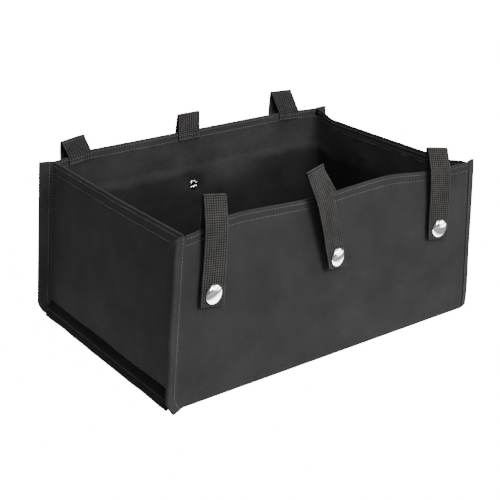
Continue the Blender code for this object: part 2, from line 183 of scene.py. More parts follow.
# %% Lamps
LAMPS = (
    # name, place, aimed at, size, power in watts
    ("key_lamp", (0.2, -2.4, 1.6), (0, 0, 0.08), 1.3, 104),
    ("top_lamp", (0.2, -0.8, 2.2), (0, 0, 0.1), 1.2, 14),
    ("back_lamp", (0.9, 2.4, 1.2), (0, 0, 0.08), 1.3, 45),
)


def soft_box(name, place, aim, size, power):
    """A square area lamp that points at a place."""
    lamp = bpy.data.objects.new(name, bpy.data.lights.new(name, "AREA"))
    lamp.data.shape, lamp.data.size, lamp.data.energy = "SQUARE", size, power
    lamp.location = Vector(place)
    lamp.rotation_mode = "QUATERNION"
    lamp.rotation_quaternion = (Vector(aim) - Vector(place)).to_track_quat("-Z", "Y")
    bpy.context.scene.collection.objects.link(lamp)


for lamp in LAMPS:
    soft_box(*lamp)
print("lamps, W:", {lamp[0]: lamp[-1] for lamp in LAMPS})

# %% [markdown]
# ## How the bag stands
# The bag isn't a straight box. Its rims rise and lean between the corners, and its left foot
# tucks under. Every layer has to follow the same settled shape, so the shape is one function
# that reads small tables of places and amounts along each rim, and everything is built by
# passing its straight-box points through it.

# %% The settled box
HEIGHT, HALF_DEPTH, BEND = 150 * MM, 109 * MM, 14 * MM
HALF_LENGTHS = {-1: (159 * MM, 165 * MM, 154.5 * MM), 1: (164.5 * MM, 165 * MM, 156.5 * MM)}
RIM_OUT = {
    -1: ((-156, 0), (-95, -8), (-22, -5), (60, -7), (112, -1.5), (156, 0)),
    1: ((-156, 0), (-110, 4), (110, 4), (156, 1)),
}
RIM_UP = {
    -1: ((-156, 0), (-105, 4.5), (-22, 2.5), (60, 4.5), (112, 1.5), (156, 1)),
    1: ((-156, 0), (-110, 3), (110, 3), (156, 1.5)),
}
END_RIM_UP = {
    -1: ((-105, 0), (0, -1), (105, 0)),
    1: ((-105, 1), (-80, -3), (80, -4.5), (105, 1.5)),
}
LONG_WALLS, END_WALLS = {-1: "front", 1: "back"}, {-1: "left", 1: "right"}
LONG_HALF, END_HALF = 156 * MM, 108 * MM  # half the length of a wall's free cloth
LONG_HEM, END_HEM = 9 * MM, 12 * MM
HEMS = {"front": LONG_HEM, "back": LONG_HEM, "left": END_HEM, "right": END_HEM}
WEBBING_WIDTH = 25 * MM


def eased(share):
    share = min(max(share, 0.0), 1.0)
    return share * share * (3 - 2 * share)


def smooth(table, place):
    """Reads a smooth curve through (place, amount) pairs in millimetres."""
    place = min(max(place / MM, table[0][0]), table[-1][0])
    for (start, low), (stop, high) in zip(table, table[1:]):
        if place <= stop:
            return (low + (high - low) * eased((place - start) / (stop - start))) * MM
    return table[-1][1] * MM


def beside(table, place, middle):
    """As smooth, but read straight across a strap that lies on the wall at middle."""
    reach = WEBBING_WIDTH / 2
    low, high = smooth(table, middle - reach), smooth(table, middle + reach)
    return smooth(table, middle) + (high - low) * (place - middle) / (2 * reach)


def risen(z):
    """How much of the rim's movement a height has: none at the foot, all at the rim."""
    return min(max((z - BEND) / (HEIGHT - BEND), 0.0), 1.0)


def settle_long(point, side, strap_x=None):
    """Where a point on the front (-1) or back (1) wall comes to lie."""
    if strap_x is None:
        out, up = smooth(RIM_OUT[side], point.x), smooth(RIM_UP[side], point.x)
    else:
        out = beside(RIM_OUT[side], point.x, strap_x)
        up = beside(RIM_UP[side], point.x, strap_x)
    return point + risen(point.z) * Vector((0, side * out, up))


def settle_end(point, side):
    """Where a point on the left (-1) or right (1) end comes to lie."""
    return point + risen(point.z) * Vector((0, 0, smooth(END_RIM_UP[side], point.y)))


def half_length(side, z):
    foot, widest, top = HALF_LENGTHS[side]
    if z <= BEND:
        return foot + (widest - foot) * math.sin(math.pi / 2 * z / BEND)
    return widest + (top - widest) * (z - BEND) / (HEIGHT - BEND)


rim = settle_long(Vector((0, -HALF_DEPTH, HEIGHT)), -1)
print("middle of the front rim, mm:", [round(c / MM, 1) for c in rim])

# %% [markdown]
# ## Woven cloth, as a material
# Oxford cloth, lining, tape and webbing are all plain weaves, and differ in the size of their
# threads. One node group draws the weave from a map that gives each point's place on the flat
# cloth in metres, so the threads keep their real size wherever the cloth bends. A second group
# gives the uneven dye and the dust that keep black cloth from looking like paint.

# %% The weave group
def new_group(name, inputs, outputs):
    """A shader group with named sockets: inputs as (name, kind, value)."""
    group = bpy.data.node_groups.new(name, "ShaderNodeTree")
    for label, kind, value in inputs:
        made = group.interface.new_socket(label, in_out="INPUT", socket_type=kind)
        if value is not None:
            made.default_value = value
    for label in outputs:
        group.interface.new_socket(label, in_out="OUTPUT", socket_type="NodeSocketFloat")
    return group, group.nodes.new("NodeGroupInput"), group.nodes.new("NodeGroupOutput")


def make_weave_group():
    group, given, result = new_group(
        "woven_threads",
        [("Place", "NodeSocketVector", None), ("Warp pitch", "NodeSocketFloat", 0.5 * MM),
         ("Weft pitch", "NodeSocketFloat", 0.5 * MM)],
        ["Height", "Gap shade"],
    )
    place = node(group, "ShaderNodeSeparateXYZ", {0: given.outputs["Place"]})
    across = maths(group, "DIVIDE", place.outputs[0], given.outputs["Warp pitch"])
    along = maths(group, "DIVIDE", place.outputs[1], given.outputs["Weft pitch"])
    waves = []
    for count in (across, along):
        wave = maths(group, "SINE", maths(group, "MULTIPLY", count, math.pi))
        waves.append(maths(group, "ABSOLUTE", wave))
    cells = maths(group, "ADD", maths(group, "FLOOR", across), maths(group, "FLOOR", along))
    odd = maths(group, "PINGPONG", cells, 1.0)
    warp = maths(group, "MULTIPLY", waves[0], maths(group, "MULTIPLY_ADD", waves[1], 0.5, 0.5))
    weft = maths(group, "MULTIPLY", waves[1], maths(group, "MULTIPLY_ADD", waves[0], 0.5, 0.5))
    mixed = node(group, "ShaderNodeMix", {0: odd, 2: warp, 3: weft}, data_type="FLOAT")
    group.links.new(mixed.outputs[0], result.inputs["Height"])
    # The gap measure darkens the cloth's colour: painted shade in the gaps between threads.
    gap = maths(group, "SUBTRACT", 1.0, mixed.outputs[0])
    group.links.new(maths(group, "POWER", gap, 2.0), result.inputs["Gap shade"])
    return group


WEAVE = make_weave_group()
print("weave group nodes:", len(WEAVE.nodes))

# %% The dye and dust group
def make_dye_group():
    group, given, result = new_group(
        "uneven_dye",
        [("Place", "NodeSocketVector", None), ("Cloud size", "NodeSocketFloat", 40 * MM),
         ("Speck size", "NodeSocketFloat", 1.2 * MM)],
        ["Clouds", "Specks"],
    )
    for label, size, detail in (("Clouds", "Cloud size", 4.0), ("Specks", "Speck size", 2.0)):
        scale = maths(group, "DIVIDE", 1.0, given.outputs[size])
        cloud = node(group, "ShaderNodeTexNoise", {"Vector": given.outputs["Place"], "Scale": scale,
                                                  "Detail": detail, "Roughness": 0.6})
        group.links.new(cloud.outputs["Fac"], result.inputs[label])
    return group


DYE = make_dye_group()
print("dye group nodes:", len(DYE.nodes))

# %% Cloth materials
CLOTH_MAP = "cloth_map"
CLOTH_SHINE = 0.02  # black cloth hardly mirrors the bright room
BUMP_STRENGTH = 0.7
# The webbing's stored number is its rib height, read for painted shade in its grooves; the lining's
# places painted shade below its ridge and a painted highlight on its bulge.
RELIEF, LINING_PAINTED_LIGHT = "relief", "lining_painted_light"  # numbers that a mesh stores for its material


def cloth_material(name, dark, light, weave, relief, roughness, sheen, specks=0.35, cloud=40 * MM):
    """Woven cloth: its own colour on the threads and painted shade in the gaps between them, with
    clouds of dye and fine specks.

    Weave is the two thread widths and relief the bump's height, all in millimetres.
    """
    material, tree, shader = new_material(name)
    flat = node(tree, "ShaderNodeUVMap", uv_map=CLOTH_MAP)
    pitches = {"Warp pitch": weave[0] * MM, "Weft pitch": weave[1] * MM}
    threads = node(tree, "ShaderNodeGroup", {"Place": flat.outputs[0], **pitches}, node_tree=WEAVE)
    where = node(tree, "ShaderNodeTexCoord")
    dye = node(tree, "ShaderNodeGroup", {"Place": where.outputs["Object"], "Cloud size": cloud},
               node_tree=DYE)
    tone = maths(tree, "MULTIPLY_ADD", dye.outputs["Specks"], specks, dye.outputs["Clouds"])
    lit = node(tree, "ShaderNodeMapRange", {"Value": tone, "From Min": 0.35 + specks * 0.3,
                                            "From Max": 0.65 + specks * 0.7})
    # Painted shade: the colour darkens in the gaps between threads.
    filled = maths(tree, "SUBTRACT", 1.0, threads.outputs["Gap shade"])
    dye_and_gap_shade = maths(tree, "MULTIPLY", lit.outputs[0], filled)
    colour = node(tree, "ShaderNodeMix", {0: dye_and_gap_shade, 6: (*dark, 1), 7: (*light, 1)}, data_type="RGBA")
    tree.links.new(colour.outputs[2], shader.inputs["Base Color"])
    rough = node(tree, "ShaderNodeMapRange", {"Value": threads.outputs["Height"],
                                              "To Min": roughness + 0.1,
                                              "To Max": roughness - 0.08})
    tree.links.new(rough.outputs[0], shader.inputs["Roughness"])
    bump = node(tree, "ShaderNodeBump", {"Height": threads.outputs["Height"],
                                         "Distance": relief * MM, "Strength": BUMP_STRENGTH})
    tree.links.new(bump.outputs[0], shader.inputs["Normal"])
    shader.inputs["Sheen Weight"].default_value = sheen
    shader.inputs["Sheen Roughness"].default_value = 0.5
    shader.inputs["Specular IOR Level"].default_value = CLOTH_SHINE
    return material


def grey(value, warm=0.0):
    return (value * (1 + warm), value, value * (1 - warm))


def paint_shade_where_low(material, attribute, shade_share):
    """Paints shade into a cloth's colour: darkens it to the given share where the number that its
    mesh stores is low.
    """
    tree = material.node_tree
    shader = tree.nodes["Principled BSDF"]
    colour = shader.inputs["Base Color"].links[0].from_socket
    ribs = node(tree, "ShaderNodeAttribute", attribute_name=attribute)
    share = node(tree, "ShaderNodeMapRange", {"Value": ribs.outputs["Fac"], "From Min": 0.3,
                                              "From Max": 0.85, "To Min": shade_share, "To Max": 1.0})
    dark = node(tree, "ShaderNodeMix", {0: 1.0, 6: colour, 7: share.outputs[0]},
                data_type="RGBA", blend_type="MULTIPLY")
    tree.links.new(dark.outputs[2], shader.inputs["Base Color"])


OUTER = cloth_material("oxford_cloth", grey(0.024), grey(0.038), (0.62, 0.55), 0.12, 0.78, 0.04)
LINING = cloth_material("lining_cloth", grey(0.019), grey(0.039), (0.35, 0.35), 0.05, 0.7, 0.03)
TAPE = cloth_material("grosgrain_tape", grey(0.018), grey(0.040), (0.5, 1.1), 0.15, 0.8, 0.04)
# Painted shade: the foot tape is coloured far darker than the other tapes, standing in for the
# shadow under the tucked foot.
FOOT_TAPE_SHADE = cloth_material("foot_tape_painted_shade", grey(0.004), grey(0.011), (0.5, 1.1), 0.15,
                           0.85, 0.02)
WEBBING = cloth_material("woven_webbing", grey(0.046, 0.03), grey(0.105, 0.03), (0.55, 0.45), 0.1,
                         0.66, 0.04, cloud=15 * MM)
THREAD = cloth_material("sewing_thread", grey(0.06), grey(0.15), (0.3, 0.3), 0.03, 0.6, 0.05)
# Painted shade in the grooves between the webbing's ribs.
paint_shade_where_low(WEBBING, RELIEF, 0.2)
# Painted shade below the lining's ridge and a painted highlight on its bulge at the back.
paint_shade_where_low(LINING, LINING_PAINTED_LIGHT, 0.55)
CLOTHS = (OUTER, LINING, TAPE, FOOT_TAPE_SHADE, WEBBING, THREAD)
print("cloth materials:", [material.name for material in CLOTHS])

# %% [markdown]
# ## Plated steel and board
# The snaps are bright plated steel: a mirror with faint clouds of wear in its roughness. The
# boards inside the walls don't show, and are plain grey fibreboard with a soft mottle.

# %% Hard materials
def hard_material(name, dark, light, rough_low, rough_high, metallic, grain):
    """Metal or board: clouds in its colour and specks in its roughness, sized by its grain."""
    material, tree, shader = new_material(name)
    where = node(tree, "ShaderNodeTexCoord").outputs["Object"]
    sizes = {"Cloud size": grain, "Speck size": grain / 12}
    dye = node(tree, "ShaderNodeGroup", {"Place": where, **sizes}, node_tree=DYE)
    colour = node(tree, "ShaderNodeMix", {0: dye.outputs["Clouds"], 6: (*dark, 1), 7: (*light, 1)},
                  data_type="RGBA")
    tree.links.new(colour.outputs[2], shader.inputs["Base Color"])
    rough = node(tree, "ShaderNodeMapRange", {"Value": dye.outputs["Specks"], "To Min": rough_low,
                                              "To Max": rough_high})
    tree.links.new(rough.outputs[0], shader.inputs["Roughness"])
    shader.inputs["Metallic"].default_value = metallic
    return material


PLATE = hard_material("bright_plate", grey(0.72, 0.01), grey(0.86, 0.01), 0.04, 0.16, 1.0, 6 * MM)
BOARD = hard_material("fibreboard", grey(0.06), grey(0.12), 0.5, 0.8, 0.0, 5 * MM)
print("hard materials:", [material.name for material in (PLATE, BOARD)])

# %% [markdown]
# ## The wall cloths
# Each wall is a strip of cloth that runs round both corners into the fins, where it is sewn to
# its neighbour, and is folded over at the rim into a hem. It is one grid of points: columns go
# round the corners, and rows go up the outside, over the rim and down the inside. Small moves of
# each point give the slack between the boards, the puckers that a row of stitches pulls, and the
# dimples at the snaps. A Solidify modifier gives the cloth its 0.6 mm.

# %% Making a sheet from rows of points
CLOTH = 0.6 * MM


def new_piece(name, mesh, material, body="bag"):
    """A finished mesh as an object at the origin, riding on a body."""
    obj = bpy.data.objects.new(name, mesh)
    bpy.context.scene.collection.objects.link(obj)
    mesh.materials.append(material)
    for polygon in mesh.polygons:
        polygon.use_smooth = True
    if body:
        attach(obj, body)
    return obj


def sheet_mesh(name, rows, closed=False):
    """A mesh from rows of points, with the place of each point on the flat cloth as its map.

    Rows go up and columns go to the right as seen from outside. Closed joins the last column to
    the first.
    """
    count = len(rows[0])
    grid = np.array([[tuple(p) for p in row] for row in rows])
    ring = np.concatenate([grid, grid[:, :1]], axis=1)
    steps = np.linalg.norm(np.diff(ring, axis=1), axis=2)
    across = np.concatenate([[0], np.cumsum(steps.mean(axis=0))])
    lifts = np.linalg.norm(np.diff(grid, axis=0), axis=2)
    along = np.concatenate([[0], np.cumsum(lifts.mean(axis=1))])
    faces, flat = [], []
    for r in range(len(rows) - 1):
        for c in range(count if closed else count - 1):
            d = (c + 1) % count
            faces.append((r * count + c, r * count + d, (r + 1) * count + d, (r + 1) * count + c))
            flat += [(across[c], along[r]), (across[c + 1], along[r]),
                     (across[c + 1], along[r + 1]), (across[c], along[r + 1])]
    mesh = bpy.data.meshes.new(name)
    mesh.from_pydata(grid.reshape(-1, 3).tolist(), [], faces)
    layer = mesh.uv_layers.new(name=CLOTH_MAP)
    layer.data.foreach_set("uv", np.array(flat, np.float32).ravel())
    mesh.update()
    return mesh


def store_share(mesh, name, values):
    """Keeps one number per point for a material to read."""
    attribute = mesh.attributes.new(name, "FLOAT", "POINT")
    attribute.data.foreach_set("value", np.array(values, np.float32))


def thicken(obj, thickness):
    modifier = obj.modifiers.new("cloth_thickness", "SOLIDIFY")
    modifier.thickness, modifier.offset = thickness, -1
    return obj


def spread(start, stop, step):
    """Evenly spaced numbers from start to stop, about a step apart."""
    count = max(2, round(abs(stop - start) / step) + 1)
    return [start + (stop - start) * i / (count - 1) for i in range(count)]


def resample(points, count):
    """The same line with a fixed number of points: rows of one sheet need as many each."""
    if len(points) == count:
        return points
    steps = [0.0]
    for a, b in zip(points, points[1:]):
        steps.append(steps[-1] + (b - a).length)
    flat = np.array([tuple(p) for p in points])
    at = np.linspace(0, steps[-1], count)
    return [Vector(p) for p in np.stack([np.interp(at, steps, flat[:, k]) for k in range(3)], 1)]


def half_turn(steps):
    """Angles of half a circle."""
    return [math.pi * i / steps for i in range(steps + 1)]


print("points 2 mm apart up a wall:", len(spread(0, HEIGHT, 2 * MM)))

# %% Slack, puckers and dimples
STRAPS = {
    # name: (wall, sewn at, loop top at, snap at, rise, turn at snap, turn at top, half loop width)
    "front_left": (-1, -127, -124, -130, 24, 0, 0, 1.2),
    "front_middle": (-1, -8, -23, -2, 26, 12, 17, 1.2),
    "front_right": (-1, 118, 115.5, 120, 21, 0, 0, 1.2),
    "back_left": (1, -126, -132, -128, 16, 0, 0, 2.5),
    "back_middle": (1, -5, -4, -2, 18, 0, 0, 1.2),
    "back_right": (1, 120, 110.5, 116, 23, 0, 0, 1.2),
}
SNAP_HEIGHT = 95 * MM


def bump_at(u, v, at_u, at_v, wide, tall):
    """A round swelling of height 1 at a place."""
    return math.exp(-((u - at_u) / wide) ** 2 - ((v - at_v) / tall) ** 2)


def wander(u, v, size, seed):
    """Slow random waves of about this size, between -1 and 1."""
    return noise.noise(Vector((u / size, v / size, seed)))


def slack(wall, along, z, half):
    """How far the outer cloth stands off its board at a place on a wall."""
    seed = {"front": 1.3, "back": 4.7, "left": 7.9, "right": 11.2}[wall]
    from_edge = min(half - abs(along), z, HEIGHT - z)
    free = eased(from_edge / (22 * MM))
    swell = 0.9 + 1.1 * wander(along, z, 62 * MM, seed) + 0.45 * wander(along, z, 24 * MM, seed + 2)
    out = max(swell, 0.05) * free * MM
    seam = HEIGHT - HEMS[wall] + 1.0 * MM
    tight = math.exp(-((z - seam) / (1.6 * MM)) ** 2)
    near = math.exp(-((z - seam) / (7 * MM)) ** 2)
    pucker = math.sin(along / (3.4 * MM) + 2.2 * wander(along, 0, 15 * MM, seed)) * 0.22 * MM
    out += near * pucker * eased((half - abs(along)) / (12 * MM)) - tight * 0.3 * MM
    for strap in STRAPS.values():
        if LONG_WALLS[strap[0]] == wall:
            out *= 1 - bump_at(along, z, strap[3] * MM, SNAP_HEIGHT, 13 * MM, 13 * MM)
    return out


def on_long_wall(side, x, z, depth):
    """A point so deep inside the outer face of the front (-1) or back (1) cloth."""
    off = slack(LONG_WALLS[side], x, z, LONG_HALF) - depth
    return Vector((x, side * (HALF_DEPTH + off), z))


def on_end_wall(side, y, z, depth):
    """A point so deep inside the outer face of the left (-1) or right (1) end's cloth."""
    off = slack(END_WALLS[side], y, z, END_HALF) - depth
    return Vector((side * (half_length(side, z) + off), y, z))


print("slack at the front's middle, mm:", round(slack("front", 0, HEIGHT / 2, LONG_HALF) / MM, 2))


# %% Corners and fins
FIN = 11.2 * MM
FIN_TURNS = {(-1, -1): 25, (1, -1): -20, (-1, 1): 20, (1, 1): 0}
CORNER_ROUND = 2.6 * MM
FIN_FAR = 1.5 * MM


def fin_point(side_x, side_y, z, along, depth):
    """A point of a corner fin: so far out along it, and so deep from its outer face."""
    turn = math.radians(FIN_TURNS[side_x, side_y])
    out = Vector((side_x * math.cos(turn), side_y * math.sin(turn), 0))
    into = Vector((side_x * math.sin(turn), -side_y * math.cos(turn), 0))
    corner = Vector((side_x * half_length(side_x, z), side_y * HALF_DEPTH, z))
    return corner + along * out + depth * into


def fin_wave(side_x, side_y, z):
    """The fins aren't quite flat: they wave in and out along their height."""
    return 0.5 * MM * wander(z, 0, 34 * MM, 3.1 * side_x + 1.7 * side_y + 9)


def rounded(before, corner, after, steps=6):
    """Points on a soft bend from one point to another, drawn towards the corner between."""
    return [before.lerp(corner, i / steps).lerp(corner.lerp(after, i / steps), i / steps)
            for i in range(steps + 1)]


def fin_columns(side_x, side_y, z, depth, corner, before):
    """From the wall's last point, round the bend and out to the fin's edge."""
    wave = fin_wave(side_x, side_y, z)
    turn_out = fin_point(side_x, side_y, z, CORNER_ROUND, depth)
    tips = [fin_point(side_x, side_y, z, a, depth - wave * a / FIN)
            for a in spread(CORNER_ROUND, FIN, 2 * MM)]
    return rounded(before, corner, turn_out) + tips[1:]


tip = fin_point(-1, -1, HEIGHT, FIN, 0)
print("tip of the front left fin, mm:", [round(c / MM, 1) for c in tip])


# %% The front and back cloths
def hem_rows(hem):
    """Rows of a wall as (height, depth): up the outside, over the rim and down the inside."""
    roll, fine = 0.9 * MM, HEIGHT - 20 * MM
    heights = spread(0, BEND, 2 * MM)[:-1] + spread(BEND, fine, 3 * MM)[:-1]
    heights += spread(fine, HEIGHT - roll, 0.9 * MM)[:-1]
    rows = [(z, 0.0) for z in heights]
    for angle in half_turn(6):
        rows.append((HEIGHT - roll + roll * math.sin(angle), roll * (1 - math.cos(angle))))
    return rows + [(z, 2 * roll) for z in spread(HEIGHT - roll, HEIGHT - hem, 1.2 * MM)[1:]]


def long_cloth_row(side, z, depth):
    """One row of the front or back cloth, from its left fin to its right fin."""
    left, right = -half_length(-1, z), half_length(1, z)
    shown = [on_long_wall(side, x, z, depth)
             for x in spread(left + CORNER_ROUND, right - CORNER_ROUND, 2 * MM)]
    in_fin = min(depth, 0.3 * MM)
    parts = []
    for side_x, last in ((-1, shown[0]), (1, shown[-1])):
        corner = Vector((side_x * half_length(side_x, z), side * (HALF_DEPTH - in_fin), z))
        parts.append(fin_columns(side_x, side, z, in_fin, corner, last))
    return [settle_long(p, side) for p in parts[0][::-1] + shown[1:-1] + parts[1]]


def make_long_cloth(name, side):
    count = len(long_cloth_row(side, HEIGHT, 0))
    rows = [resample(long_cloth_row(side, z, depth), count) for z, depth in hem_rows(LONG_HEM)]
    if side > 0:
        rows = [row[::-1] for row in rows]
    obj = new_piece(f"{name}_cloth", sheet_mesh(f"{name}_cloth", rows), OUTER)
    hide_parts(f"{name}_panel")
    return thicken(obj, CLOTH)


for side, wall in LONG_WALLS.items():
    made = make_long_cloth(wall, side)
    print(made.name, "faces:", len(made.data.polygons))

# %% The end cloths
def end_cloth_row(side, z, depth):
    """One row of an end cloth, from its front fin to its back fin."""
    reach = HALF_DEPTH - 1.2 * MM - CORNER_ROUND
    shown = [on_end_wall(side, y, z, depth) for y in spread(-reach, reach, 2 * MM)]
    in_fin = FIN_FAR - min(depth, 0.3 * MM)
    parts = []
    for side_y, last in ((-1, shown[0]), (1, shown[-1])):
        turn = math.radians(FIN_TURNS[side, side_y])
        corner = fin_point(side, side_y, z, -in_fin * math.tan(turn), in_fin)
        parts.append(fin_columns(side, side_y, z, in_fin, corner, last))
    return [settle_end(p, side) for p in parts[0][::-1] + shown[1:-1] + parts[1]]


def make_end_cloth(name, side):
    rows = [end_cloth_row(side, z, depth) for z, depth in hem_rows(END_HEM)]
    rows = [resample(row, len(rows[0])) for row in rows]
    if side < 0:
        rows = [row[::-1] for row in rows]
    obj = new_piece(f"{name}_end_cloth", sheet_mesh(f"{name}_end_cloth", rows), OUTER)
    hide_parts(f"{name}_end_panel")
    return thicken(obj, CLOTH)


for side, wall in END_WALLS.items():
    made = make_end_cloth(wall, side)
    print(made.name, "faces:", len(made.data.polygons))

# %% [markdown]
# ## The bindings
# Each corner fin is bound with a folded tape. It is a strip swept up the fin: along the outer
# face, round the edge and back along the inner face. Its edge waves a little, as tape does where
# the feed of the machine pulled it.

# %% Binding tape
TAPE_START, TAPE_THICK = 1.6 * MM, 0.5 * MM


def tape_row(side_x, side_y, z):
    """The tape's line at one height: out along the fin, round its edge and back."""
    front, back = -0.1 * MM, 1.6 * MM
    middle, radius = (front + back) / 2, (back - front) / 2
    wave = fin_wave(side_x, side_y, z)
    start = TAPE_START + 0.35 * MM * wander(z, 4, 20 * MM, side_x + 5 * side_y)
    route = [(a, front) for a in spread(start, FIN, 1.6 * MM)[:-1]]
    for angle in half_turn(6):
        route.append((FIN + radius * math.sin(angle), middle - radius * math.cos(angle)))
    route += [(a, back) for a in spread(FIN, start, 1.6 * MM)[1:]]
    points = [fin_point(side_x, side_y, z, a, d - wave * a / FIN) for a, d in route]
    return [settle_long(p, side_y) for p in points]


def make_tape(long_name, end_name, side_x, side_y):
    heights = spread(0, BEND, 2 * MM)[:-1] + spread(BEND, HEIGHT, 2 * MM)
    rows = [tape_row(side_x, side_y, z) for z in heights]
    if side_x * side_y > 0:
        rows = [row[::-1] for row in rows]
    name = f"{long_name}_{end_name}_tape"
    obj = new_piece(name, sheet_mesh(name, rows), TAPE)
    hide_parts(f"{long_name}_{end_name}_binding")
    modifier = thicken(obj, TAPE_THICK).modifiers[0]
    modifier.offset = 1
    return obj


for side_y, long_name in LONG_WALLS.items():
    for side_x, end_name in END_WALLS.items():
        print(make_tape(long_name, end_name, side_x, side_y).name)

# %% [markdown]
# ## The foot seams
# Each end is sewn to the base with a bound seam that swings out to the ground: further at the left,
# where the foot tucks under, than at the right. Its tape is coloured near-black as painted shade,
# standing in for the shadow where the foot tucks under the wall.

# %% The seam under each end
FOOT_OUT = {-1: 5.5 * MM, 1: 2.5 * MM}
FOOT_WIDE, FOOT_FOLD = 2.2 * MM, 1.1 * MM
FOOT_RANGE = {side: [corner[1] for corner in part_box(f"{end}_foot_binding")]
              for side, end in END_WALLS.items()}


def foot_place(side, y, z, depth):
    """A point on the foot seam's outer face, or so deep inside it. It swings out to the ground."""
    share = 1 - min(max(z / BEND, 0), 1)
    wave = 0.7 * MM * wander(y, z, 28 * MM, 51 + side) * eased(share * 2)
    filled = 0.35 + 0.65 * eased(share * 3)
    gap = (0.5 * eased(share * 4) - 0.25) * MM
    out = FOOT_OUT[side] * share ** 0.8 + (FOOT_WIDE - depth) * filled + gap + wave
    return Vector((side * (HALF_LENGTHS[side][1] + out), y, z))


def make_foot_tape(end, side):
    """A tape down the seam's outer face, round its foot and up its inner face."""
    low, high = FOOT_RANGE[side]
    fold = [(FOOT_FOLD * (1 - math.sin(angle)), FOOT_WIDE / 2 * (1 - math.cos(angle)))
            for angle in half_turn(8)]
    path = [(z, 0.0) for z in spread(BEND, FOOT_FOLD, 1.5 * MM)] + fold[1:-1]
    path += [(z, FOOT_WIDE) for z in spread(FOOT_FOLD, BEND, 1.5 * MM)]
    ys = spread(low, high, 2.5 * MM)
    grid = [[foot_place(side, y, z, depth) for y in ys] for z, depth in path]
    if side > 0:
        grid = [row[::-1] for row in grid]
    name = f"{end}_foot_tape"
    obj = new_piece(name, sheet_mesh(name, grid), FOOT_TAPE_SHADE)
    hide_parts(f"{end}_foot_binding")
    return thicken(obj, TAPE_THICK)


for side, end in END_WALLS.items():
    print(make_foot_tape(end, side).name)

# %% [markdown]
# ## The lining
# Inside, one lining goes round all four walls and down to the base. Below the boards' top edge
# it is pushed inwards, above it falls back against the outer cloth, and the step between shows
# as a wavy ridge. It is a loft: rings of points round the inside of the bag, one for each height.

# %% The shape of the lining
LINING_THICK = 0.5 * MM
BOARD_TOP = 112 * MM
BASE_TOP = 3.7 * MM
INNER_ROUND = 5 * MM
LINING_IN = 3.3 * MM  # the lining's inner face where it lies flat on a board
RIDGE_FOOT, RIDGE_TOP = 104 * MM, 120 * MM  # the rows are closer together between these
RING_POINTS = 440


def lining_depth(wall, along, z):
    """How deep inside the wall's outer face the lining's inner face lies."""
    seed = {"front": 21.0, "back": 24.0, "left": 27.0, "right": 30.0}[wall]
    ridge = BOARD_TOP + 1.6 * MM * wander(along, 0, 30 * MM, seed)
    ridge += 0.8 * MM * wander(along, 0, 9 * MM, seed)
    over = eased((ridge + 5 * MM - z) / (11 * MM))
    top = HEIGHT - HEMS[wall]
    loose = max(wander(along, z, 30 * MM, seed + 1), -0.5)
    above = 1.75 * MM + 1.3 * MM * loose * eased((top - z) / (12 * MM))
    puff = 0.7 + 1.2 * wander(along, z, 45 * MM, seed + 3)
    puff += 0.4 * wander(along, z, 14 * MM, seed + 4)
    below = LINING_IN + max(puff, 0) * eased((z - 6 * MM) / (20 * MM)) * 1.2 * MM
    fallen = 0.5 + 0.9 * wander(along, 0, 55 * MM, seed + 6)
    above += (3.0 * MM - above) * min(max(fallen, 0.0), 0.85) * eased((138 * MM - z) / (20 * MM))
    if wall == "back":
        below += 4.2 * MM * bump_at(along, z, 30 * MM, 98 * MM, 48 * MM, 16 * MM)
        below += 2.0 * MM * bump_at(along, z, -70 * MM, 92 * MM, 35 * MM, 20 * MM)
        rivet = bump_at(along, z, -2 * MM, SNAP_HEIGHT, 9 * MM, 9 * MM)
        below += (LINING_IN - below) * min(1.25 * rivet, 1)
        below -= 2.2 * MM * bump_at(along, z, -9 * MM, 103 * MM, 5 * MM, 7 * MM)
    if wall == "front":
        stud = bump_at(along, z, -2 * MM, SNAP_HEIGHT, 10 * MM, 10 * MM)
        below += (LINING_IN - below) * stud
    return above + (below - above) * over


def lining_ring(z, inset=0.0):
    """Points round the inside of the bag at one height, seen from inside going to the right."""
    points = []

    def long_run(side, xs):
        for x in xs:
            off = lining_depth(LONG_WALLS[side], x, z) + inset
            points.append(settle_long(Vector((x, side * (HALF_DEPTH - off), z)), side))

    def end_run(side, ys):
        for y in ys:
            off = lining_depth(END_WALLS[side], y, z) + inset
            points.append(settle_end(Vector((side * (half_length(side, z) - off), y, z)), side))

    left, right = (half_length(s, z) - LINING_IN - INNER_ROUND - inset for s in (-1, 1))
    depth = HALF_DEPTH - LINING_IN - INNER_ROUND - inset

    def turn(side_x, side_y, first_long):
        """A round corner between the ends of two runs."""
        centre_x = side_x * (left if side_x < 0 else right)
        centre = Vector((centre_x, side_y * depth, z))
        in_long = lining_depth(LONG_WALLS[side_y], centre_x, z)
        in_end = lining_depth(END_WALLS[side_x], side_y * depth, z)
        run_y = HALF_DEPTH - in_long - inset - depth
        run_x = half_length(side_x, z) - in_end - inset - abs(centre_x)
        for i in range(1, 6):
            angle = math.pi / 2 * i / 6
            share = i / 6 if first_long else 1 - i / 6
            to_end, to_long = math.sin(angle), math.cos(angle)
            if not first_long:
                to_end, to_long = to_long, to_end
            p = centre + Vector((side_x * run_x * to_end, side_y * run_y * to_long, 0))
            points.append(settle_long(p, side_y).lerp(settle_end(p, side_x), share))

    long_run(-1, spread(right, -left, 2.5 * MM))
    turn(-1, -1, True)
    end_run(-1, spread(-depth, depth, 2.5 * MM))
    turn(-1, 1, False)
    long_run(1, spread(-left, right, 2.5 * MM))
    turn(1, 1, True)
    end_run(1, spread(depth, -depth, 2.5 * MM))
    turn(1, -1, False)
    return points


def lining_painted_light_share(p):
    """Painted light on the lining: paler above its ridge with painted shade below it, and a painted
    highlight on its bulge at the back.
    """
    high = eased((p.z - (107 + 5 * wander(p.x, p.y, 40 * MM, 8)) * MM) / (11 * MM))
    bulge = bump_at(p.x, p.z, 38 * MM, 104 * MM, 46 * MM, 14 * MM) if p.y > 80 * MM else 0
    return 0.3 + 0.55 * max(high, bulge)


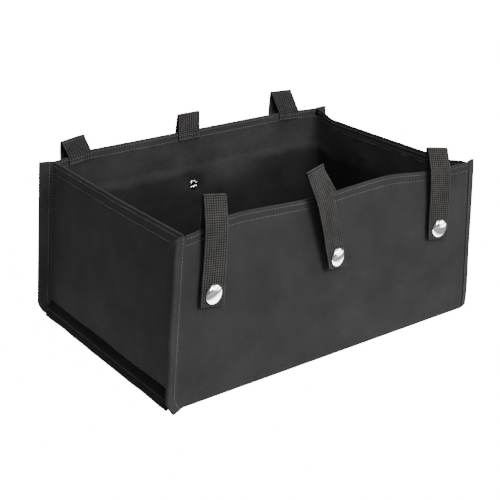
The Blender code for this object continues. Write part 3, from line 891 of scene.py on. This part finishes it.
def make_lining():
    foot = 4 * MM
    heights = spread(BASE_TOP + foot, RIDGE_FOOT, 3 * MM)[:-1]
    heights += spread(RIDGE_FOOT, RIDGE_TOP, 1 * MM)[:-1]
    heights += spread(RIDGE_TOP, HEIGHT - LONG_HEM + 1.5 * MM, 2 * MM)
    rows = []
    for i in range(6):
        angle = math.pi / 2 * (1 - i / 6)
        z = BASE_TOP + foot * (1 - math.sin(angle))
        rows.append(lining_ring(z, foot * (1 - math.cos(angle))))
    rows += [lining_ring(z) for z in heights]
    rows = [resample([*row, row[0]], RING_POINTS + 1)[:-1] for row in rows]
    mesh = sheet_mesh("wall_lining", rows, closed=True)
    store_share(mesh, LINING_PAINTED_LIGHT, [lining_painted_light_share(p) for row in rows for p in row])
    obj = new_piece("wall_lining", mesh, LINING)
    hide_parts("front_lining", "back_lining", "left_end_lining", "right_end_lining")
    return thicken(obj, LINING_THICK)


print("lining faces:", len(make_lining().data.polygons))

# %% The base
def make_base(name, low, inset, rise, material, nodes, upwards):
    """A flat sheet of the base with a soft, uneven rise in its middle."""
    halves = half_length(-1, 0), half_length(1, 0), HALF_DEPTH
    left, right, depth = (half - inset for half in halves)
    rows = []
    for y in spread(-depth, depth, 4 * MM):
        row = []
        for x in spread(-left, right, 4 * MM):
            edge = min(depth - abs(y), left + x, right - x)
            swell = rise * (0.6 + 0.8 * wander(x, y, 60 * MM, 41)) * eased(edge / (30 * MM))
            row.append(Vector((x, y, low + max(swell, 0))))
        rows.append(row if upwards else row[::-1])
    obj = new_piece(name, sheet_mesh(name, rows), material)
    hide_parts(*nodes)
    return obj


BASE_LINING_THICK = 0.4 * MM
base_lining = make_base("base_lining_cloth", BASE_TOP, 4 * MM, 1.2 * MM, LINING,
                        ["base_lining"], upwards=True)
base_cloth = make_base("base_cloth", 0.0, 0.9 * MM, 0.2 * MM, OUTER,
                       ["base_panel"], upwards=False)
for obj, thickness in ((base_lining, BASE_LINING_THICK), (base_cloth, CLOTH)):
    print(thicken(obj, thickness).name, "faces:", len(obj.data.polygons))

# %% [markdown]
# ## The straps
# A strap is 25 mm webbing, sewn to the hem inside, looped over the rim and closed on the wall by a
# snap. The weave is coarse enough to be real shape, so each row of points follows the ribs. On the
# real bag the tail swings on the top of the loop, so loop and tail are two meshes that meet on one
# line; the loop rides on the bag.

# %% The strap's route
WEBBING_THICK = 1.2 * MM
OUTER_LEG = 4.6 * MM
CAP_RADIUS = 8.5 * MM
TAIL_END = 84 * MM
LOOP_CORNER = 2.4 * MM
RIB, PICK = WEBBING_WIDTH / 10, 1.9 * MM
ROW_STEP = PICK / 4
# How far each side edge of a strap is sheared down or up, in millimetres: (loop top, tail end).
STRAP_SLANT = {"front_left": (4.5, 3.6), "front_middle": (-0.5, 2.5), "front_right": (2.2, 2.0)}


def strap_facts(name):
    """A strap's places and sizes in metres and its turns in degrees, by name."""
    side, root, top_x, snap, rise, turn, top_turn, reach = STRAPS[name]
    off = 5 * MM * math.sin(math.radians(turn))
    head = HEIGHT + rise * MM - WEBBING_THICK / 2 - LOOP_CORNER
    return dict(side=side, root=root * MM, top_x=top_x * MM, snap=snap * MM, turn=turn, head=head,
                top_turn=top_turn, leg=OUTER_LEG + off, off=off, reach=reach * MM,
                slants=[v * MM for v in STRAP_SLANT.get(name, (0, 0))])


print("straps and how high their loops rise, mm:", {name: row[4] for name, row in STRAPS.items()})


# %% Places along a strap
def loop_places(s):
    """Places up the inside and over the top, as (x, out, height, turn)."""
    inner, outer = -s["reach"], s["reach"]
    radius = min(LOOP_CORNER, (outer - inner) / 2)
    low = HEIGHT - LONG_HEM + 0.5 * MM
    on_hem = -2.6 * MM
    top = s["head"]
    yield s["root"], on_hem, low, 0
    yield s["root"], on_hem, HEIGHT - 1 * MM, 0
    yield (s["root"] + s["top_x"]) / 2, (on_hem + inner) / 2, (HEIGHT + top) / 2, s["top_turn"] / 2
    for centre, start in ((inner + radius, 180), (outer - radius, 90)):
        for i in range(7):
            angle = math.radians(start - 90 * i / 6)
            yield (s["top_x"], centre + radius * math.cos(angle),
                   top + LOOP_CORNER - radius + radius * math.sin(angle), s["top_turn"])
    if radius < LOOP_CORNER:
        yield s["top_x"], outer, top, s["top_turn"]


def tail_places(s):
    """Places down the outside to the end below the snap."""
    flat = SNAP_HEIGHT + CAP_RADIUS
    for i in range(13):
        z = s["head"] + (flat - s["head"]) * i / 12
        share = eased(i / 12)
        lean = (s["top_x"] - s["snap"]) * (z - SNAP_HEIGHT) / (s["head"] - SNAP_HEIGHT)
        turn = s["top_turn"] + (s["turn"] - s["top_turn"]) * share
        drop = min((s["head"] - z) / (s["head"] - HEIGHT), 1.0)
        out = s["reach"] + (s["leg"] - s["reach"]) * drop
        out += 1.2 * MM * math.sin(math.pi * i / 12)
        out -= lean * math.tan(math.radians(s["turn"])) * share
        yield s["snap"] + lean, out, z, turn
    lean = (s["top_x"] - s["snap"]) * (TAIL_END - SNAP_HEIGHT) / (s["head"] - SNAP_HEIGHT)
    out = s["leg"] - lean * math.tan(math.radians(s["turn"]))
    yield s["snap"] + lean, out, TAIL_END, s["turn"]


def even_route(places, step):
    """The route as points a step apart, by length along it."""
    table = np.array(list(places), float)
    lengths = np.linalg.norm(np.diff(table[:, :3], axis=0), axis=1)
    at = np.concatenate([[0], np.cumsum(lengths)])
    keep = np.concatenate([[True], np.diff(at) > 1e-7])
    table, at = table[keep], at[keep]
    new = np.linspace(0, at[-1], max(4, round(at[-1] / step) + 1))
    return np.stack([np.interp(new, at, table[:, k]) for k in range(4)], 1), new


# %% The webbing's mesh
COLUMNS, RIB_RELIEF = 61, 0.24 * MM


def webbing_mesh(name, s, places, start_length, slants):
    """Woven webbing along a route, closed at both ends, with ribs as real relief."""
    route, lengths = even_route(places, ROW_STEP)
    across = np.linspace(-1, 1, COLUMNS)
    half = WEBBING_WIDTH / 2
    rows, relief = [], []
    for i, (x, out, z, turn) in enumerate(route):
        before, after = route[max(i - 2, 0)], route[min(i + 2, len(route) - 1)]
        run = Vector((after[1] - before[1], after[2] - before[2])).normalized()
        cos, sin = math.cos(math.radians(turn)), math.sin(math.radians(turn))
        pick = abs(math.sin(math.pi * (start_length + lengths[i]) / PICK))
        slant = slants[0] + (slants[1] - slants[0]) * eased(lengths[i] / lengths[-1])
        face, back, high = [], [], []
        for a in across:
            rib = abs(math.sin(math.pi * a * half / RIB))
            edge = math.sqrt(max(1 - abs(a) ** 14, 0.0))
            weave = rib * pick
            thick = (WEBBING_THICK / 2 + RIB_RELIEF * (weave - 0.5)) * (0.25 + 0.75 * edge)
            high.append(weave)
            for store, sign in ((face, 1), (back, -1)):
                p = Vector((x + cos * a * half - sign * run.y * sin * thick,
                            out - sin * a * half - sign * run.y * cos * thick,
                            z - a * slant + sign * run.x * thick))
                p = Vector((p.x, s["side"] * (HALF_DEPTH + p.y), p.z))
                store.append(settle_long(p, s["side"], s["root"]))
        rows.append(face + back[::-1])
        relief += high + high[::-1]
    mesh = sheet_mesh(name, rows, closed=True)
    close_ends(mesh, len(rows[0]))
    store_share(mesh, RELIEF, relief)
    return mesh


def close_ends(mesh, count):
    """Fills the first and last ring with strips of quads, and turns all faces outwards."""
    bm = bmesh.new()
    bm.from_mesh(mesh)
    bm.verts.ensure_lookup_table()
    total = len(bm.verts)
    for base in (0, total - count):
        for i in range(count // 2 - 1):
            corners = [base + i, base + i + 1, base + count - 2 - i, base + count - 1 - i]
            bm.faces.new([bm.verts[c] for c in corners])
    bmesh.ops.recalc_face_normals(bm, faces=bm.faces)
    bm.to_mesh(mesh)
    bm.free()


def make_strap(name):
    s = strap_facts(name)
    places = list(loop_places(s))
    mesh = webbing_mesh(f"{name}_strap_loop", s, places, 0.0, (0.0, s["slants"][0]))
    loop = new_piece(f"{name}_strap_loop", mesh, WEBBING)
    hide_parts(f"strap_{name}_loop")
    loop_length = even_route(places, ROW_STEP)[1][-1]
    mesh = webbing_mesh(f"{name}_strap_tail", s, tail_places(s), loop_length, s["slants"])
    tail = new_piece(f"{name}_strap_tail", mesh, WEBBING, body=None)
    edges = (Vector((s["top_x"] + w, s["side"] * HALF_DEPTH, s["head"]))
             for w in (-WEBBING_WIDTH / 2, WEBBING_WIDTH / 2))
    left, right = (settle_long(edge, s["side"], s["root"]) for edge in edges)
    down = (right - left).cross(Vector((0, -1, 0))).normalized()
    down = down if down.z < 0 else -down
    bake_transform(tail)
    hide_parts(f"strap_{name}_tail")
    return loop, tail


for name in STRAPS:
    loop, tail = make_strap(name)
    print(loop.name, len(loop.data.polygons), tail.name, len(tail.data.polygons))

# %% [markdown]
# ## The snaps
# Each snap has four turned pieces: a stud and its eyelet in the wall, and a socket and its domed
# cap on the strap. They are lathe work, so each is an outline spun round the snap's own axis,
# and then settled with the wall, as the cloth it is set in is.

# %% Turned pieces
SPIN, SHARP = 56, math.radians(40)
RIPPLED_FROM = 2  # a ripple only shows beyond this radius


def turned(outline, matrix, s, ripple=0.0):
    """A closed solid of revolution from points (radius, height) in millimetres.

    A ripple gives its rim six waves, as the prongs of a rivet do.
    """
    bm = bmesh.new()
    rows = []
    for i in range(SPIN):
        angle = math.tau * i / SPIN
        lift = ripple * math.cos(6 * angle)
        row = []
        for radius, height in outline:
            radius = radius * (1 + lift * 0.4) if radius > RIPPLED_FROM else radius
            height = height + lift * (radius > RIPPLED_FROM)
            local = Vector((radius * math.cos(angle), radius * math.sin(angle), height))
            row.append(bm.verts.new(settle_long(matrix @ (local * MM), s["side"], s["root"])))
        rows.append(row)
    count = len(outline)
    for i, row in enumerate(rows):
        other = rows[(i + 1) % SPIN]
        for j in range(count):
            k = (j + 1) % count
            if outline[j][0] or outline[k][0]:
                bm.faces.new((row[j], row[k], other[k], other[j]))
    bmesh.ops.remove_doubles(bm, verts=bm.verts, dist=1e-7)
    bmesh.ops.recalc_face_normals(bm, faces=bm.faces)
    return bm


def arc(centre, radii, start, stop, steps):
    """Points of part of an ellipse in an outline, angles in degrees."""
    for i in range(steps + 1):
        angle = math.radians(start + (stop - start) * i / steps)
        radius, height = radii[0] * math.cos(angle), radii[1] * math.sin(angle)
        yield max(centre[0] + radius, 0.0), centre[1] + height


# %% The snaps' outlines, in millimetres
CAP_DOME = 2.9


def cap_outline():
    """A post under a domed disc whose rim is rolled under."""
    under = OUTER_LEG / MM + 0.9
    return [(0, 3.3), (1.1, 3.3), (1.1, under), (7.5, under),
            *arc((7.9, under + 0.55), (0.6, 0.55), -90, 30, 7),
            *arc((0, under + 0.7), (8.35, CAP_DOME), 12, 90, 14)]


STUD = [(1.5, 0.3), (5.0, 0.3), (5.0, 0.8), (3.0, 0.95), (2.2, 1.1), (2.0, 1.5),
        *arc((2.0, 2.1), (0.5, 0.5), -60, 90, 6), (1.5, 2.6)]
SOCKET = [(2.8, 1.5), *arc((5.2, 1.8), (0.3, 0.3), -90, 0, 4),
          *arc((5.2, 3.4), (0.3, 0.3), 0, 90, 4), (1.4, 3.7), (1.4, 3.1), (2.8, 3.1)]


def eyelet_outline(depth):
    """A barrel through the wall with a rolled flange so deep inside it."""
    return [(0.7, -depth - 0.5), (1.4, -depth - 0.9), (3.0, -depth - 1.1),
            *arc((4.3, -depth - 0.45), (0.5, 0.45), -90, 60, 6),
            (1.2, -depth), (1.2, 2.3), (0.7, 2.3)]


print("outline points:", {"cap": len(cap_outline()), "stud": len(STUD), "socket": len(SOCKET)})


# %% Setting the snaps
def snap_matrix(s, off):
    angle = math.radians(s["turn"])
    axis = Vector((math.sin(angle), s["side"] * math.cos(angle), 0))
    place = Vector((s["snap"], s["side"] * (HALF_DEPTH + off), SNAP_HEIGHT))
    return Matrix.Translation(place) @ axis.to_track_quat("Z", "Y").to_matrix().to_4x4()


def make_snap(name):
    s = strap_facts(name)
    through = name.endswith("middle")
    depth = 3.5 if through else 0.9
    pieces = (
        ("stud", STUD, s["off"], "bag", 0.0),
        ("eyelet", eyelet_outline(depth), -s["off"], "bag", 0.35 if through else 0.0),
        ("socket", SOCKET, s["off"], f"{name}_tail", 0.0),
        ("cap", cap_outline(), s["off"], f"{name}_tail", 0.0),
    )
    for kind, outline, off, body, ripple in pieces:
        bm = turned(outline, snap_matrix(s, off), s, ripple)
        mesh = bpy.data.meshes.new(f"{name}_{kind}")
        bm.to_mesh(mesh)
        bm.free()
        mesh.set_sharp_from_angle(angle=SHARP)
        obj = new_piece(f"{name}_{kind}", mesh, PLATE, body)
        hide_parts(f"snap_{name}_{kind}")


for name in STRAPS:
    make_snap(name)
print("snaps:", len(STRAPS))

# %% [markdown]
# ## The stitches
# Rows of stitches hold the hems, the tapes and the straps' feet. They repeat along a path, so a
# Geometry Nodes tree makes them: it cuts a seam line into even steps and puts a short grain of
# thread on each, turned along the seam. The result is turned into a plain mesh.

# %% The stitch tree
STITCH_SOCKETS = (
    # label, kind, value
    ("Seam", "NodeSocketGeometry", None), ("Pitch", "NodeSocketFloat", 3 * MM),
    ("Length", "NodeSocketFloat", 2.3 * MM), ("Thread radius", "NodeSocketFloat", 0.3 * MM),
    ("Seed", "NodeSocketInt", 5), ("Finish", "NodeSocketMaterial", None),
)
JITTER = (0.09, 0.09, 0.09)


def make_stitch_tree():
    """The tree, and the name that a modifier gives each of its sockets."""
    tree = bpy.data.node_groups.new("stitch_row", "GeometryNodeTree")
    sockets = {}
    for label, kind, value in STITCH_SOCKETS:
        made = tree.interface.new_socket(label, in_out="INPUT", socket_type=kind)
        if value is not None:
            made.default_value = value
        sockets[label] = made.identifier
    tree.interface.new_socket("Stitches", in_out="OUTPUT", socket_type="NodeSocketGeometry")
    given, result = tree.nodes.new("NodeGroupInput"), tree.nodes.new("NodeGroupOutput")
    line = node(tree, "GeometryNodeMeshToCurve", {"Mesh": given.outputs["Seam"]})
    pitch, radius = given.outputs["Pitch"], given.outputs["Thread radius"]
    even = node(tree, "GeometryNodeResampleCurve", {"Curve": line.outputs[0], "Length": pitch},
                mode="LENGTH")
    grain = node(tree, "GeometryNodeMeshUVSphere", {"Segments": 8, "Rings": 6, "Radius": 1.0})
    half = maths(tree, "MULTIPLY", given.outputs["Length"], 0.5)
    size = node(tree, "ShaderNodeCombineXYZ", {0: radius, 1: radius, 2: half})
    shape = node(tree, "GeometryNodeTransform",
                 {"Geometry": grain.outputs[0], "Scale": size.outputs[0]})
    tangent = node(tree, "GeometryNodeInputTangent")
    jitter = node(tree, "FunctionNodeRandomValue",
                  {0: [-j for j in JITTER], 1: JITTER, "Seed": given.outputs["Seed"]},
                  data_type="FLOAT_VECTOR")
    aim = node(tree, "ShaderNodeVectorMath", {0: tangent.outputs[0], 1: jitter.outputs[0]},
               operation="ADD")
    turn = node(tree, "FunctionNodeAlignRotationToVector", {"Vector": aim.outputs[0]}, axis="Z")
    placed = node(tree, "GeometryNodeInstanceOnPoints", {
        "Points": even.outputs[0], "Instance": shape.outputs[0], "Rotation": turn.outputs[0]})
    real = node(tree, "GeometryNodeRealizeInstances", {0: placed.outputs[0]})
    soft = node(tree, "GeometryNodeSetShadeSmooth", {"Geometry": real.outputs[0]})
    done = node(tree, "GeometryNodeSetMaterial",
                {"Geometry": soft.outputs[0], "Material": given.outputs["Finish"]})
    tree.links.new(done.outputs[0], result.inputs[0])
    return tree, sockets


STITCH_TREE, SOCKET_NAMES = make_stitch_tree()
print("stitch tree nodes:", len(STITCH_TREE.nodes))


# %% Sewing a seam
def make_stitches(name, seams, pitch=3.0, length=2.0, radius=0.38):
    """Stitches along several seam lines, as one plain mesh that rides on the bag."""
    mesh = bpy.data.meshes.new("seam_lines")
    points, edges = [], []
    for seam in seams:
        edges += [(len(points) + i, len(points) + i + 1) for i in range(len(seam) - 1)]
        points += [tuple(p) for p in seam]
    mesh.from_pydata(points, edges, [])
    lines = bpy.data.objects.new("seam_lines", mesh)
    bpy.context.scene.collection.objects.link(lines)
    modifier = lines.modifiers.new("stitches", "NODES")
    modifier.node_group = STITCH_TREE
    for label, value in (("Pitch", pitch * MM), ("Length", length * MM),
                         ("Thread radius", radius * MM), ("Finish", THREAD)):
        modifier[SOCKET_NAMES[label]] = value
    evaluated = lines.evaluated_get(bpy.context.evaluated_depsgraph_get())
    made = bpy.data.meshes.new_from_object(evaluated)
    bpy.data.objects.remove(lines)
    made.name = name
    if CLOTH_MAP not in made.uv_layers:
        made.uv_layers.new(name=CLOTH_MAP)
    obj = bpy.data.objects.new(name, made)
    bpy.context.scene.collection.objects.link(obj)
    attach(obj, "bag")
    print(name, "faces:", len(made.polygons))
    return obj


# %% Hem, tape and strap stitches
def long_seam(side, z, depth):
    """A line on the front or back wall's cloth at one height, from fin to fin."""
    left, right = -half_length(-1, z) + 3 * MM, half_length(1, z) - 3 * MM
    return [settle_long(on_long_wall(side, x, z, depth), side) for x in spread(left, right, 2 * MM)]


def end_seam(side, z, depth):
    """A line on an end wall's cloth at one height, from fin to fin."""
    reach = HALF_DEPTH - 5 * MM
    return [settle_end(on_end_wall(side, y, z, depth), side) for y in spread(-reach, reach, 2 * MM)]


def fin_seam(side_x, side_y, depth):
    """A line up a corner fin, so deep from its outer face."""
    seam = []
    for z in spread(2 * MM, HEIGHT - 1.5 * MM, 2 * MM):
        wave = fin_wave(side_x, side_y, z) * 0.27
        point = fin_point(side_x, side_y, z, 3.0 * MM, depth - wave)
        seam.append(settle_long(point, side_y))
    return seam


OUTSIDE, INSIDE = -0.15 * MM, 1.95 * MM
LONG_SEAMS, END_SEAMS = (1.0, 6.4), (1.0, 8.4)  # heights above the hem's lower edge, mm
for side, wall in LONG_WALLS.items():
    foot = HEIGHT - LONG_HEM
    seams = [long_seam(side, foot + up * MM, d) for up in LONG_SEAMS for d in (OUTSIDE, INSIDE)]
    make_stitches(f"{wall}_hem_stitches", seams)
for side, wall in END_WALLS.items():
    foot = HEIGHT - END_HEM
    seams = [end_seam(side, foot + up * MM, d) for up in END_SEAMS for d in (OUTSIDE, INSIDE)]
    make_stitches(f"{wall}_hem_stitches", seams)
make_stitches("tape_stitches", [fin_seam(*sides, depth) for sides in FIN_TURNS
                                for depth in (-0.65 * MM, 2.15 * MM)])

foot_seams = []
for side, (low, high) in FOOT_RANGE.items():
    foot_seams.append([foot_place(side, y, 7.5 * MM, -0.1 * MM)
                       for y in spread(low + 2 * MM, high - 2 * MM, 2 * MM)])
make_stitches("foot_stitches", foot_seams, pitch=4.2, length=1.6)

root_seams = []
for name in STRAPS:
    s = strap_facts(name)
    for z in (HEIGHT - LONG_HEM + 2 * MM, HEIGHT - LONG_HEM + 5.5 * MM):
        y = s["side"] * (HALF_DEPTH - 3.25 * MM)
        ends = [Vector((s["root"] + w * MM, y, z)) for w in (-11, 0, 11)]
        root_seams.append([settle_long(p, s["side"], s["root"]) for p in ends])
make_stitches("strap_stitches", root_seams, pitch=2.6, length=2.0)

# %% The boards inside
boards = [obj for label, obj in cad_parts.items() if label.endswith("_board")]
for obj in boards:
    obj.data.materials.clear()
    obj.data.materials.append(BOARD)
print("boards:", len(boards))

# %% [markdown]
# ## The cut cloth
# The map of each piece is its flat pattern in metres, so its extent is the size that the cloth is
# cut to. Each piece's map is read back; what the cloth rests on and how it is held (stretched over
# a board, folded, laid or hung) are listed with it but not used.

# %% The cut sizes
def declare_cut(name, held, *rests_on):
    """Reads the flat pattern of a piece back from its map."""
    obj = bpy.data.objects[name]
    layer = obj.data.uv_layers[CLOTH_MAP]
    flat = np.empty(len(layer.data) * 2, np.float32)
    layer.data.foreach_get("uv", flat)


for wall in ("front", "back", "left_end", "right_end"):
    declare_cut(f"{wall}_cloth", "stretched", f"{wall}_board")
declare_cut("wall_lining", "hung", "front_cloth", "back_cloth", "left_end_cloth", "right_end_cloth")
declare_cut("base_lining_cloth", "laid", "base_board")
declare_cut("base_cloth", "stretched", "base_board")
for end in ("left", "right"):
    for long_name in ("front", "back"):
        declare_cut(f"{long_name}_{end}_tape", "folded", f"{long_name}_cloth")
    declare_cut(f"{end}_foot_tape", "folded", f"{end}_end_cloth")
for name, strap in STRAPS.items():
    declare_cut(f"{name}_strap_loop", "folded", "front_cloth" if strap[0] < 0 else "back_cloth")
    declare_cut(f"{name}_strap_tail", "hung", f"{name}_strap_loop")
